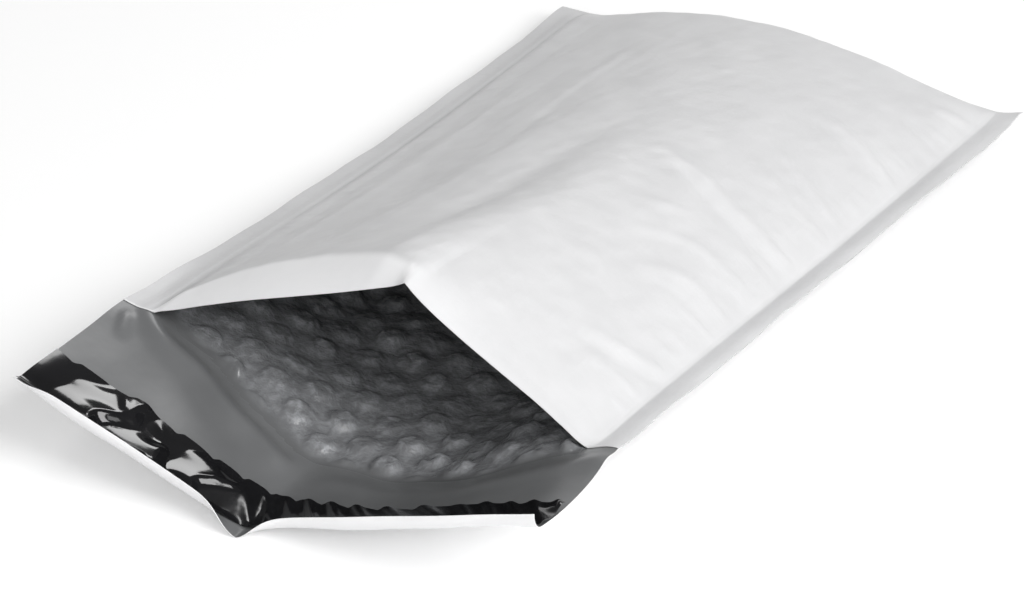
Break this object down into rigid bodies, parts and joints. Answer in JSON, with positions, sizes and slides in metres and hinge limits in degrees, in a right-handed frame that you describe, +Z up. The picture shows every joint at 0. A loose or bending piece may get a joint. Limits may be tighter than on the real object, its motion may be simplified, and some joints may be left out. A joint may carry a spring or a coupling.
{
  "type": "padded envelope",
  "caption": "Open plastic mailing bag with a bubble-film lining, welded side seams and a folded-back closing flap that carries an adhesive strip under a dark release liner.",
  "frame": {"origin": "on the ground, under the middle of the bounding box of the open envelope", "axes": "+Y along the envelope from the flap to the closed end, +Z up from the back panel it lies on to the raised front panel, +X to the right when looking along +Y"},
  "size_m": [0.165, 0.316, 0.054],
  "materials": {
    "film": "white polyethylene film, satin, grey on the inside",
    "lining": "dark grey bubble film",
    "adhesive": "clear pressure-sensitive adhesive",
    "liner": "glossy black release film"
  },
  "bodies": {
    "root": {"outer_film": "film", "bubble_lining": "lining", "adhesive_strip": "adhesive", "release_liner": "liner"}
  },
  "joints": []
}
